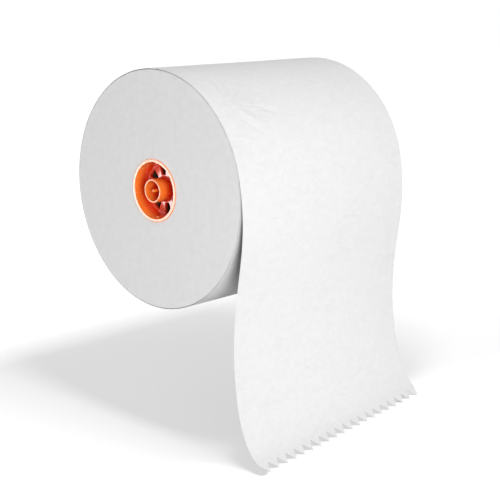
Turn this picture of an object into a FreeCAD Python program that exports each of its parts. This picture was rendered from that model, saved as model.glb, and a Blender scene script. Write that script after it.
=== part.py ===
"""Hardwound paper towel roll: the paper on its cardboard core, with a moulded plug in each end.

The roll hangs as it does in a dispenser. Its axis is level along +X, the free end of the sheet leaves the
front of the roll (-Y) and hangs down, and +Z is up. The origin is on the axis, in the plane of the near end
face. All sizes are in millimetres and degrees. An angle about the axis climbs from the front to the top.
"""

import FreeCAD
import Part

import math
import os
from collections import namedtuple

# ---- Roll ----
SHEET_WIDTH = 203.2
ROLL_DIAMETER = 198.0
SHEET_THICKNESS = 0.35
OUTER_TURN_GAP = 0.3        # the outer turn stands this far off the turn below it where it leaves the roll
OUTER_TURN_ROOT = 0.05      # opening at the root of that wedge-shaped gap

# ---- Rings of looser turns that show on both end faces ----
RING_SPACING = 9.5
RING_STAGGER = 1.8          # each second ring lies this far off even spacing
RING_WIDTH = 0.7
RING_DEPTH = 0.25

# ---- Free end of the sheet ----
LEAVE_ANGLE = 18.0          # the sheet leaves the roll this far above its front
# The hanging end is slightly twisted, so each edge of the sheet has a path of its own. Its waist lies behind
# the roll's front and below its underside, and its curve ends in front of and below them, at a slope.
NEAR_WAIST_BACK = 7.8
NEAR_WAIST_BELOW = 18.5
NEAR_END_FORWARD = 19.2
NEAR_END_BELOW = 108.7
NEAR_END_SLOPE = 40.0
FAR_WAIST_BACK = 5.5
FAR_WAIST_BELOW = 4.0
FAR_END_FORWARD = 22.6
FAR_END_BELOW = 93.4
FAR_END_SLOPE = 35.0
CURVE_EASE = 0.33           # length of each curve's handles, as a share of its chord
TOOTH_COUNT = 20
TOOTH_DEPTH = 8.8
TOOTH_BAND = 1.0            # straight strip between the end of the curve and the roots of the teeth

# ---- Core tube ----
CORE_BORE_DIAMETER = 48.8
CORE_WALL = 1.6
FIT_CLEARANCE = 0.05        # radial, between the paper, the core and the plugs

# ---- Core plug, one moulding, the same at both ends ----
FLANGE_THICKNESS = 0.8
FLANGE_LAP = 0.15           # how far the flange laps over the paper around the core
EDGE_BEVEL = 0.35           # on the rims of the flange, the cup's mouth and the spigot
PILOT_LENGTH = 3.0          # the full-diameter stretch behind the flange that centres the plug in the core
PILOT_WALL = 0.85           # between the pilot and the cup's mouth
CUP_TAPER = 2.3             # how much narrower in radius the cup is at its floor than at its mouth
CUP_DEPTH = 12.0            # from the roll's end face to the cup's floor
CUP_WALL = 1.3
FLOOR_THICKNESS = 2.5
SPIGOT_DIAMETER = 19.8
SPIGOT_WALL = 1.7
SPIGOT_PROUD = 2.4          # how far the spigot stands out of the roll's end face
SPIGOT_ROOT_BEVEL = 1.2
PIN_DIAMETER = 2.6
PIN_TIP_BEVEL = 0.8
PIN_SETBACK = 0.6           # the pin's tip lies this far inside the spigot's rim
WINDOW_COUNT = 8
WINDOW_ARC = 19.0
WINDOW_TURN = 9.0           # angle of the first window's middle
WINDOW_INNER_MARGIN = 1.9   # web left between a window and the spigot
WINDOW_OUTER_MARGIN = 1.2   # web left between a window and the cup's wall
WINDOW_BEVEL = 0.7
GRIP_RIB_COUNT = 8
GRIP_RIB_WIDTH = 1.2

# ---- Modelling ----
CUT_MARGIN = 1.0            # how far a cutting tool reaches past what it cuts
MATCH_TOLERANCE = 1e-6      # for finding an edge by its place

# ---- Worked out from the sizes above ----
ROLL_RADIUS = ROLL_DIAMETER / 2
TURN_PITCH = SHEET_THICKNESS + OUTER_TURN_ROOT
CORE_BORE_RADIUS = CORE_BORE_DIAMETER / 2
CORE_RADIUS = CORE_BORE_RADIUS + CORE_WALL
PAPER_BORE_RADIUS = CORE_RADIUS + FIT_CLEARANCE
PILOT_RADIUS = CORE_BORE_RADIUS - FIT_CLEARANCE
FLANGE_RADIUS = PAPER_BORE_RADIUS + FLANGE_LAP
MOUTH_RADIUS = PILOT_RADIUS - PILOT_WALL
CUP_FLOOR_RADIUS = MOUTH_RADIUS - CUP_TAPER
SPIGOT_RADIUS = SPIGOT_DIAMETER / 2
SPIGOT_BORE_RADIUS = SPIGOT_RADIUS - SPIGOT_WALL
PIN_RADIUS = PIN_DIAMETER / 2
PLUG_BACK = CUP_DEPTH + FLOOR_THICKNESS
PIN_TIP = PIN_SETBACK - SPIGOT_PROUD
TOOTH_PITCH = SHEET_WIDTH / TOOTH_COUNT

SheetPath = namedtuple("SheetPath", "waist_back waist_below end_forward end_below end_slope")
NEAR_PATH = SheetPath(NEAR_WAIST_BACK, NEAR_WAIST_BELOW, NEAR_END_FORWARD, NEAR_END_BELOW, NEAR_END_SLOPE)
FAR_PATH = SheetPath(FAR_WAIST_BACK, FAR_WAIST_BELOW, FAR_END_FORWARD, FAR_END_BELOW, FAR_END_SLOPE)

AXIS = FreeCAD.Vector(1, 0, 0)
ORIGIN = FreeCAD.Vector(0, 0, 0)


def around(x, radius, angle):
    """The point at a radius and angle about the roll's axis."""
    a = math.radians(angle)
    return FreeCAD.Vector(x, -radius * math.cos(a), radius * math.sin(a))


def line(start, end):
    return Part.LineSegment(start, end).toShape()


def arc(start, middle, end):
    return Part.Arc(start, middle, end).toShape()


def curve(start, start_way, end, end_way):
    """A smooth curve that leaves start along start_way and comes into end along end_way."""
    reach = CURVE_EASE * start.distanceToPoint(end)
    bezier = Part.BezierCurve()
    bezier.setPoles([start, start + start_way * reach, end - end_way * reach, end])
    return bezier.toShape()


def cylinder(radius, start, length):
    return Part.makeCylinder(radius, length, FreeCAD.Vector(start, 0, 0), AXIS)


def turned(edges):
    """The solid swept by a closed outline in the XZ plane around the roll's axis."""
    return Part.Face(Part.Wire(edges)).revolve(ORIGIN, AXIS, 360)


def closed_lines(points):
    return [line(a, b) for a, b in zip(points, points[1:] + points[:1])]


# ---- Paper ----

def turn_radius(angle):
    """Radius of the wound paper, whose outer turn falls by TURN_PITCH on its way once round from the top."""
    return ROLL_RADIUS - TURN_PITCH * (angle + 270) / 360


def turn_arc(radii, angles):
    """An arc of a turn through three angles, whose radius may change on the way."""
    return arc(*[around(0, radius, angle) for radius, angle in zip(radii, angles)])


def wound_turns():
    """The wound paper, a spiral in two arcs, and the outer turn that stands off its front by a thin wedge."""
    spirals = [turn_arc(map(turn_radius, angles), angles) for angles in ((-270, -180, -90), (-90, 0, 90))]
    angles = (90, (90 + LEAVE_ANGLE) / 2, LEAVE_ANGLE)
    outer = [ROLL_RADIUS + OUTER_TURN_GAP * share for share in (0, 0.5, 1)]
    inner = [radius - SHEET_THICKNESS for radius in outer]
    outer_turn = [turn_arc(radii, angles) for radii in (outer, inner)]
    ends = [
        line(around(0, outer[-1], LEAVE_ANGLE), around(0, inner[-1], LEAVE_ANGLE)),
        line(around(0, inner[0], 90), around(0, turn_radius(90), 90)),
    ]
    outline = Part.Wire(Part.sortEdges(spirals + outer_turn + ends)[0])
    return Part.Face(outline).extrude(AXIS * SHEET_WIDTH)


def end_way(path):
    """The direction in which the free end of the sheet points."""
    slope = math.radians(path.end_slope)
    return FreeCAD.Vector(0, -math.cos(slope), -math.sin(slope))


def end_point(x, path):
    """Where the outer face of the sheet ends its curve."""
    return FreeCAD.Vector(x, -(ROLL_RADIUS + path.end_forward), -(ROLL_RADIUS + path.end_below))


def sheet_face_edges(x, path, inset):
    """One face of the hanging sheet, from where it leaves the roll to the tips of the teeth."""
    ways = [around(0, 1, LEAVE_ANGLE - 90), FreeCAD.Vector(0, 0, -1), end_way(path)]
    knots = [
        around(x, ROLL_RADIUS + OUTER_TURN_GAP, LEAVE_ANGLE),
        FreeCAD.Vector(x, -(ROLL_RADIUS - path.waist_back), -(ROLL_RADIUS + path.waist_below)),
        end_point(x, path),
    ]
    knots = [knot + AXIS.cross(way) * inset for knot, way in zip(knots, ways)]
    upper = curve(knots[0], ways[0], knots[1], ways[1])
    lower = curve(knots[1], ways[1], knots[2], ways[2])
    return [upper, lower, line(knots[2], knots[2] + ways[2] * (TOOTH_BAND + TOOTH_DEPTH))]


def sheet_outline(x, path):
    """The sheet's section at one of its edges."""
    outer, inner = [sheet_face_edges(x, path, inset) for inset in (0, SHEET_THICKNESS)]
    ends = [
        line(outer[0].firstVertex().Point, inner[0].firstVertex().Point),
        line(outer[-1].lastVertex().Point, inner[-1].lastVertex().Point),
    ]
    return Part.Wire(Part.sortEdges(outer + inner + ends)[0])


def hanging_sheet():
    outlines = [sheet_outline(0, NEAR_PATH), sheet_outline(SHEET_WIDTH, FAR_PATH)]
    return Part.makeLoft(outlines, True, True)


def notch(x):
    """The cutter for the V between two teeth, with its point at the roots of the teeth."""
    share = x / SHEET_WIDTH
    way = (end_way(NEAR_PATH) * (1 - share) + end_way(FAR_PATH) * share).normalize()
    root = end_point(x, NEAR_PATH) * (1 - share) + end_point(x, FAR_PATH) * share + way * TOOTH_BAND
    across = way.cross(AXIS) * (SHEET_THICKNESS + CUT_MARGIN)
    reach = (TOOTH_DEPTH + CUT_MARGIN) / TOOTH_DEPTH
    half = AXIS * (TOOTH_PITCH / 2 * reach)
    foot = root + way * (TOOTH_DEPTH * reach)
    corners = [corner - across for corner in (root, foot + half, foot - half)]
    return Part.Face(Part.Wire(closed_lines(corners))).extrude(across * 2)


def turn_rings():
    """Cutters for the shallow rings on both end faces."""
    room = ROLL_RADIUS - RING_SPACING / 2 - PAPER_BORE_RADIUS
    rings = []
    for k in range(1, int(room / RING_SPACING) + 1):
        middle = PAPER_BORE_RADIUS + k * RING_SPACING + RING_STAGGER * (k % 2)
        for face, inward in ((0, 1), (SHEET_WIDTH, -1)):
            root = FreeCAD.Vector(face + inward * RING_DEPTH, 0, middle)
            rim = [FreeCAD.Vector(face, 0, middle + side * RING_WIDTH / 2) for side in (-1, 1)]
            lip = [point - AXIS * (inward * CUT_MARGIN) for point in reversed(rim)]
            rings.append(turned(closed_lines([rim[0], root, rim[1]] + lip)))
    return rings


def paper_roll():
    roll = wound_turns().fuse(hanging_sheet())
    bore = cylinder(PAPER_BORE_RADIUS, -CUT_MARGIN, SHEET_WIDTH + 2 * CUT_MARGIN)
    notches = [notch(k * TOOTH_PITCH) for k in range(TOOTH_COUNT + 1)]
    return roll.cut([bore] + turn_rings() + notches).removeSplitter()


# ---- Core ----

def core_tube():
    bore = cylinder(CORE_BORE_RADIUS, -CUT_MARGIN, SHEET_WIDTH + 2 * CUT_MARGIN)
    return cylinder(CORE_RADIUS, 0, SHEET_WIDTH).cut(bore)


# ---- Plug, at the near end, with its mouth towards -X ----

def plug_outline():
    """Half of the plug's section in the XZ plane, from the pin's tip along the inside and back outside."""
    stations = [
        (PIN_TIP, 0),
        (PIN_TIP, PIN_RADIUS),
        (CUP_DEPTH, PIN_RADIUS),
        (CUP_DEPTH, SPIGOT_BORE_RADIUS),
        (-SPIGOT_PROUD, SPIGOT_BORE_RADIUS),
        (-SPIGOT_PROUD, SPIGOT_RADIUS),
        (CUP_DEPTH, SPIGOT_RADIUS),
        (CUP_DEPTH, CUP_FLOOR_RADIUS),
        (-FLANGE_THICKNESS, MOUTH_RADIUS),
        (-FLANGE_THICKNESS, FLANGE_RADIUS),
        (0, FLANGE_RADIUS),
        (0, PILOT_RADIUS),
        (PILOT_LENGTH, PILOT_RADIUS),
        (PLUG_BACK, CUP_FLOOR_RADIUS + CUP_WALL),
        (PLUG_BACK, 0),
    ]
    return closed_lines([FreeCAD.Vector(x, 0, r) for x, r in stations])


def plug_edges_at(shape, x, radius):
    """The circular edges of a turned shape at one place along the axis and one radius."""
    def matches(edge):
        at = edge.Vertexes[0].Point
        return max(abs(at.x - x), abs(math.hypot(at.y, at.z) - radius)) < MATCH_TOLERANCE
    return [edge for edge in shape.Edges if edge.Closed and matches(edge)]


def bevelled_plug_body():
    body = turned(plug_outline())
    rims = [
        (-SPIGOT_PROUD, SPIGOT_BORE_RADIUS),
        (-SPIGOT_PROUD, SPIGOT_RADIUS),
        (-FLANGE_THICKNESS, MOUTH_RADIUS),
        (-FLANGE_THICKNESS, FLANGE_RADIUS),
    ]
    edges = [edge for x, radius in rims for edge in plug_edges_at(body, x, radius)]
    body = body.makeChamfer(EDGE_BEVEL, edges)
    body = body.makeChamfer(SPIGOT_ROOT_BEVEL, plug_edges_at(body, CUP_DEPTH, SPIGOT_RADIUS))
    return body.makeChamfer(PIN_TIP_BEVEL, plug_edges_at(body, PIN_TIP, PIN_RADIUS))


def window_outline(x, angle, growth):
    """A window's outline at one depth: a stretch of a ring, grown on all sides."""
    inner = SPIGOT_RADIUS + WINDOW_INNER_MARGIN - growth
    outer = CUP_FLOOR_RADIUS - WINDOW_OUTER_MARGIN + growth
    half = WINDOW_ARC / 2 + math.degrees(growth / ((inner + outer) / 2))
    rings = [[around(x, r, angle + turn * half) for turn in (-1, 0, 1)] for r in (inner, outer)]
    sides = [line(rings[0][-1], rings[1][-1]), line(rings[1][0], rings[0][0])]
    return Part.Wire(Part.sortEdges([arc(*ring) for ring in rings] + sides)[0])


def window(angle):
    """The cutter for one window in the plug's floor, with a bevelled front edge."""
    bevel = Part.makeLoft(
        [window_outline(CUP_DEPTH - WINDOW_BEVEL, angle, 2 * WINDOW_BEVEL),
         window_outline(CUP_DEPTH + WINDOW_BEVEL, angle, 0)], True, True)
    shaft = Part.Face(window_outline(CUP_DEPTH, angle, 0)).extrude(AXIS * (FLOOR_THICKNESS + CUT_MARGIN))
    return shaft.fuse(bevel)


def grip_rib(angle):
    """A rib outside the cup's tapered wall that reaches out to the core's bore."""
    length = PLUG_BACK - PILOT_LENGTH
    wall = CUP_FLOOR_RADIUS + CUP_WALL / 2
    corner = FreeCAD.Vector(PILOT_LENGTH, -GRIP_RIB_WIDTH / 2, wall)
    rib = Part.makeBox(length, GRIP_RIB_WIDTH, PILOT_RADIUS - wall, corner)
    tip = cylinder(PILOT_RADIUS, PILOT_LENGTH, length)
    return rib.common(tip).rotate(ORIGIN, AXIS, angle)


def core_plug():
    plug = bevelled_plug_body()
    ribs = [grip_rib(k * 360 / GRIP_RIB_COUNT) for k in range(GRIP_RIB_COUNT)]
    windows = [window(WINDOW_TURN + k * 360 / WINDOW_COUNT) for k in range(WINDOW_COUNT)]
    return plug.fuse(ribs).cut(windows).removeSplitter()


def main():
    near = core_plug()
    far = near.copy()
    far.rotate(FreeCAD.Vector(SHEET_WIDTH / 2, 0, 0), FreeCAD.Vector(0, 0, 1), 180)
    nodes = {
        "paper_roll": paper_roll(),
        "core_tube": core_tube(),
        "core_plug_near": near,
        "core_plug_far": far,
    }
    os.makedirs("parts", exist_ok=True)
    for name, shape in nodes.items():
        box = shape.BoundBox
        print(name, "valid", shape.isValid(), "solids", len(shape.Solids), "volume", round(shape.Volume, 1),
              "from", [round(v, 2) for v in (box.XMin, box.YMin, box.ZMin)],
              "to", [round(v, 2) for v in (box.XMax, box.YMax, box.ZMax)])
        shape.exportStep("parts/" + name + ".step")


if __name__ == "__main__":
    main()
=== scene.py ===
"""Hardwound paper towel roll: wound paper, its outer turn and hanging end, the core, and a plug in each end.

The roll's axis is level along +X, the sheet leaves the front of the roll (-Y) and hangs down, and +Z is up.
The origin is on the axis, in the plane of the near end face. Lengths are in metres and angles in degrees. An
angle about the axis climbs from the front over the top, so 0 is -Y, 90 is +Z and 180 is the back.
"""

import logging
import math
from dataclasses import dataclass, field
from enum import Enum
from functools import cached_property
from typing import Any, Sequence

import bmesh
import bpy
import numpy as np
from mathutils import Matrix, Vector, noise


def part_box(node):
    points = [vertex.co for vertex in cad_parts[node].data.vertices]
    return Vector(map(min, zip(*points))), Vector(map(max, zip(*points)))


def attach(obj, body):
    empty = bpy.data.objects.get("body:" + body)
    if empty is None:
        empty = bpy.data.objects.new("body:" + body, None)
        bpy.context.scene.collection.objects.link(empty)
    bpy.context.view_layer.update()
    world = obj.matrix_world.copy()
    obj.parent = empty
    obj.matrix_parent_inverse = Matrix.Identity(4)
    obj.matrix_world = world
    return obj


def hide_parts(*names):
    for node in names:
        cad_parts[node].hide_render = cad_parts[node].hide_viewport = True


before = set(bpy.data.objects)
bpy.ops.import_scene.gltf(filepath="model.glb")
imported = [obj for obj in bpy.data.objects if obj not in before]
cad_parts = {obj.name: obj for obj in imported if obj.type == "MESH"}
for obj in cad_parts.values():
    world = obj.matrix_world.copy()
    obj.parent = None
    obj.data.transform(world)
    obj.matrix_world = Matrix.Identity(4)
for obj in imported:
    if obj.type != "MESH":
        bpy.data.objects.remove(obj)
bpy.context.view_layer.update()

LOG = logging.getLogger("paper_towel_roll")
MM = 0.001
FULL_TURN = 360.0
QUARTER_TURN = 90.0
TOP = 90.0
WHITE = (1.0, 1.0, 1.0, 1.0)

Pair = tuple[float, float]
Triple = tuple[float, float, float]
Object = bpy.types.Object
Material = bpy.types.Material
Socket = bpy.types.NodeSocket
Inputs = dict[str | int, Any]


# ---- Sizes that the pieces share ----

@dataclass(frozen=True)
class RollFrame:
    """The sizes that the CAD frame gives, and those that one piece has in common with the next."""

    width: float
    roll_radius: float
    core_radius: float
    flange_radius: float
    proud: float
    plug_depth: float
    lowest: float
    core_wall: float = 1.6 * MM
    fit_clearance: float = 0.05 * MM
    turn_pitch: float = 0.4 * MM
    leave_angle: float = 11.0

    @classmethod
    def measured(cls) -> "RollFrame":
        """Reads the sizes from the boxes of the CAD nodes.

        Returns:
            The roll's sizes in metres.
        """
        paper_low, paper_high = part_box("paper_roll")
        core_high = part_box("core_tube")[1]
        plug_low, plug_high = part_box("core_plug_near")
        return cls(
            width=paper_high.x - paper_low.x,
            roll_radius=paper_high.z,
            core_radius=core_high.z,
            flange_radius=plug_high.z,
            proud=-plug_low.x,
            plug_depth=plug_high.x,
            lowest=paper_low.z,
        )

    @property
    def paper_bore(self) -> float:
        """Radius of the hole through the wound paper."""
        return self.core_radius + self.fit_clearance

    @property
    def core_bore(self) -> float:
        """Radius of the hole through the core."""
        return self.core_radius - self.core_wall


# ---- Mesh helpers ----

def around(radius: np.ndarray | float, angle: np.ndarray | float) -> np.ndarray:
    """The y and z of points about the axis, in the last dimension."""
    turn = np.radians(angle)
    return np.stack([-radius * np.cos(turn), radius * np.sin(turn)], axis=-1)


def round_angles(count: int) -> np.ndarray:
    """Angles spread evenly once round, as a column."""
    return np.linspace(0.0, FULL_TURN, count, endpoint=False)[:, None]


def smooth_step(values: np.ndarray, start: float, end: float) -> np.ndarray:
    """Rises smoothly from 0 at start to 1 at end."""
    share = np.clip((values - start) / (end - start), 0.0, 1.0)
    return share * share * (3.0 - 2.0 * share)


def value_noise(places: np.ndarray, scale: float, seed: float) -> np.ndarray:
    """Smooth noise at a set of places, with two finer layers on top of the first.

    Args:
        places: Two coordinates for each place, in the last dimension.
        scale: Features to the metre.
        seed: Shifts the noise, so that two uses differ.

    Returns:
        A value of about -1 to 1 for each place.
    """
    fading, finer, layers = 0.9, 2.1, 3
    flat = places.reshape(-1, 2) * scale
    values = [noise.fractal(Vector((x + seed, y - seed, seed)), fading, finer, layers) for x, y in flat]
    return np.array(values).reshape(places.shape[:-1])


def grid_faces(rows: int, columns: int, join_rows: bool = False, join_columns: bool = False) -> np.ndarray:
    """Quads over a grid of points that is stored row by row.

    Args:
        rows: Number of rows of points.
        columns: Number of points in a row.
        join_rows: Whether the last row joins the first.
        join_columns: Whether each row closes on itself.

    Returns:
        Four point numbers for each quad.
    """
    row = np.arange(rows if join_rows else rows - 1)[:, None]
    column = np.arange(columns if join_columns else columns - 1)[None, :]
    next_row, next_column = (row + 1) % rows, (column + 1) % columns
    corners = (
        row * columns + column,
        row * columns + next_column,
        next_row * columns + next_column,
        next_row * columns + column,
    )
    return np.stack([np.broadcast_to(corner, (row.size, column.size)).ravel() for corner in corners], axis=1)


def grid_normals(points: np.ndarray) -> np.ndarray:
    """Unit normals of the towel's grid of points, pointing away from the roll."""
    crossed = np.cross(np.gradient(points, axis=1), np.gradient(points, axis=0))
    return crossed / np.linalg.norm(crossed, axis=-1, keepdims=True)


def in_scene(name: str, data: bpy.types.ID) -> Object:
    """Puts a new object with the given data into the scene.

    Args:
        name: The object's name.
        data: Its mesh, lamp or camera.

    Returns:
        The object.
    """
    made = bpy.data.objects.new(name, data)
    bpy.context.scene.collection.objects.link(made)
    return made


def new_object(name: str, points: np.ndarray, faces: Sequence[Sequence[int]]) -> Object:
    """Makes a smooth-shaded mesh object.

    Args:
        name: The object's name.
        points: Its points in metres.
        faces: The point numbers of each face.

    Returns:
        The object, linked to the scene.
    """
    mesh = bpy.data.meshes.new(name)
    mesh.from_pydata(np.asarray(points, dtype=float).tolist(), [], [list(map(int, face)) for face in faces])
    shape = bmesh.new()
    shape.from_mesh(mesh)
    bmesh.ops.recalc_face_normals(shape, faces=shape.faces)
    shape.to_mesh(mesh)
    shape.free()
    mesh.shade_smooth()
    return in_scene(name, mesh)


def ring_body(name: str, points: np.ndarray) -> Object:
    """Makes a body round the axis from the points of its closed section at each angle."""
    faces = grid_faces(*points.shape[:2], join_rows=True, join_columns=True)
    return new_object(name, points.reshape(-1, 3), faces[:, ::-1])


def lofted_body(name: str, rings: np.ndarray) -> Object:
    """Makes a body that runs through closed outlines, with a flat face at each end.

    Args:
        name: The object's name.
        rings: The points of each outline, as many in each.

    Returns:
        The object.
    """
    levels, count = rings.shape[:2]
    points = list(range(levels * count))
    faces = grid_faces(levels, count, join_columns=True).tolist()
    return new_object(name, rings.reshape(-1, 3), faces + [points[:count][::-1], points[-count:]])


def dress(piece: Object, material: Material, sharp_angle: float, slot: str, *nodes: str) -> Object:
    """Gives a piece its sharp edges, its finish and its place in the frame.

    Args:
        piece: The object.
        material: Its finish.
        sharp_angle: The angle between faces above which an edge is sharp.
        slot: Not used.
        *nodes: The CAD nodes that the piece stands for.

    Returns:
        The same object.
    """
    piece.data.set_sharp_from_angle(angle=math.radians(sharp_angle))
    piece.data.materials.clear()
    piece.data.materials.append(material)
    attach(piece, "root")
    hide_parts(*nodes)
    return piece


# ---- Finishes ----

@dataclass(frozen=True)
class Texture:
    """A noise with so many features to the metre and finer layers, and the relief that it stands out in."""

    per_metre: float
    detail: float = 2.0
    relief: float = 0.0
    strength: float = 0.0
    stretch: Triple = (1.0, 1.0, 1.0)


class NodeBoard:
    """The nodes of a material, a world or a lamp while they are being laid out."""

    def __init__(self, owner: str | bpy.types.World | bpy.types.Light) -> None:
        """Starts on a new material, or on a world or a lamp.

        Args:
            owner: The new material's name, or the world or the lamp.
        """
        self.owner = bpy.data.materials.new(owner) if isinstance(owner, str) else owner
        self.owner.use_nodes = True
        self.tree = self.owner.node_tree

    @cached_property
    def place(self) -> Socket:
        """The surface's own coordinates in metres."""
        return self.add("ShaderNodeTexCoord").outputs["Object"]

    def add(self, kind: str, inputs: Inputs | None = None, **settings: Any) -> bpy.types.Node:
        """Adds a node.

        Args:
            kind: The node's type.
            inputs: Values or sockets for its inputs.
            **settings: The node's own properties.

        Returns:
            The node.
        """
        node = self.tree.nodes.new(kind)
        for name, value in settings.items():
            setattr(node, name, value)
        self.feed(node, inputs or {})
        return node

    def feed(self, node: bpy.types.Node, inputs: Inputs) -> None:
        """Links sockets to a node's inputs, or sets the inputs' own values.

        Args:
            node: The node.
            inputs: A value or a socket for each input, or None for an input that stays as it is.
        """
        for name, value in inputs.items():
            if isinstance(value, Socket):
                self.tree.links.new(value, node.inputs[name])
            elif value is not None:
                node.inputs[name].default_value = value

    def finish(self, inputs: Inputs, shader: str = "Principled BSDF") -> bpy.types.ID:
        """Feeds the shader's own inputs, and gives what the nodes belong to."""
        self.feed(self.tree.nodes[shader], inputs)
        return self.owner

    def noise(self, texture: Texture) -> Socket:
        """The texture's noise, from 0 to 1."""
        return self.add("ShaderNodeTexNoise", {
            "Vector": self.stretched(texture.stretch),
            "Scale": texture.per_metre,
            "Detail": texture.detail,
        }).outputs["Fac"]

    def vector(self, operation: str, first: Any, second: Any = (0.0, 0.0, 0.0)) -> Any:
        """The outputs of one step of vector arithmetic."""
        return self.add("ShaderNodeVectorMath", {0: first, 1: second}, operation=operation).outputs

    def stretched(self, factors: Triple) -> Socket:
        """The surface's coordinates, multiplied axis by axis."""
        return self.vector("MULTIPLY", self.place, factors)["Vector"]

    def ramp(self, value: Socket, span: Pair, start: Any = 0.0, end: Any = 1.0) -> Socket:
        """Maps a span of a value smoothly onto start..end."""
        inputs = {"Value": value, "From Min": span[0], "From Max": span[1], "To Min": start, "To Max": end}
        return self.add("ShaderNodeMapRange", inputs, interpolation_type="SMOOTHSTEP").outputs["Result"]

    def maths(self, operation: str, value: Any, *others: Any) -> Socket:
        """One arithmetic operation, from left to right over all the values.

        Args:
            operation: The operation's name.
            value: The first value or socket.
            *others: The values or sockets that follow, if the operation takes more than one.

        Returns:
            The result's socket.
        """
        for other in others or (0.0,):
            value = self.add("ShaderNodeMath", {0: value, 1: other}, operation=operation).outputs["Value"]
        return value

    def mixed(self, share: float, first: Socket, second: Socket) -> Socket:
        """A share of one value and the rest of another."""
        parts = (self.maths("MULTIPLY", first, share), self.maths("MULTIPLY", second, 1.0 - share))
        return self.maths("ADD", *parts)

    def blend(self, factor: Socket, first: Any, second: Any) -> Socket:
        """A colour between two colours."""
        ends = [(*colour, 1.0) if isinstance(colour, tuple) else colour for colour in (first, second)]
        return self.add("ShaderNodeMix", {0: factor, 6: ends[0], 7: ends[1]}, data_type="RGBA").outputs[2]

    def bump(self, texture: Texture, height: Socket, below: Socket | None = None) -> Socket:
        """A normal bumped by a height in the texture's relief, on top of another one where there is one."""
        inputs = {"Height": height, "Distance": texture.relief, "Strength": texture.strength, "Normal": below}
        return self.add("ShaderNodeBump", inputs).outputs["Normal"]

    def seen_by_eye_or_gloss(self) -> Socket:
        """A factor that is 1 for rays from the camera or off a glossy or clear surface."""
        path = self.add("ShaderNodeLightPath").outputs
        return self.maths("MAXIMUM", *(path[f"Is {ray} Ray"] for ray in ("Camera", "Glossy", "Transmission")))


@dataclass(frozen=True)
class PaintedGapShade:
    """Painted shade that darkens a colour deep in narrow gaps, where shade falls: how far off a facing
    surface counts, the openness from 0 to 1 below which it darkens, and the painted colour in the deepest
    gap.
    """

    reach: float
    openness: float
    colour: Triple
    samples: int = 8

    def shaded(self, board: NodeBoard, open_colour: Socket) -> Socket:
        """The colour in the open, with painted shade darkening it in the gaps."""
        gap = board.add("ShaderNodeAmbientOcclusion", {"Distance": self.reach}, samples=self.samples)
        return board.blend(board.ramp(gap.outputs["AO"], (0.0, self.openness)), self.colour, open_colour)


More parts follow.
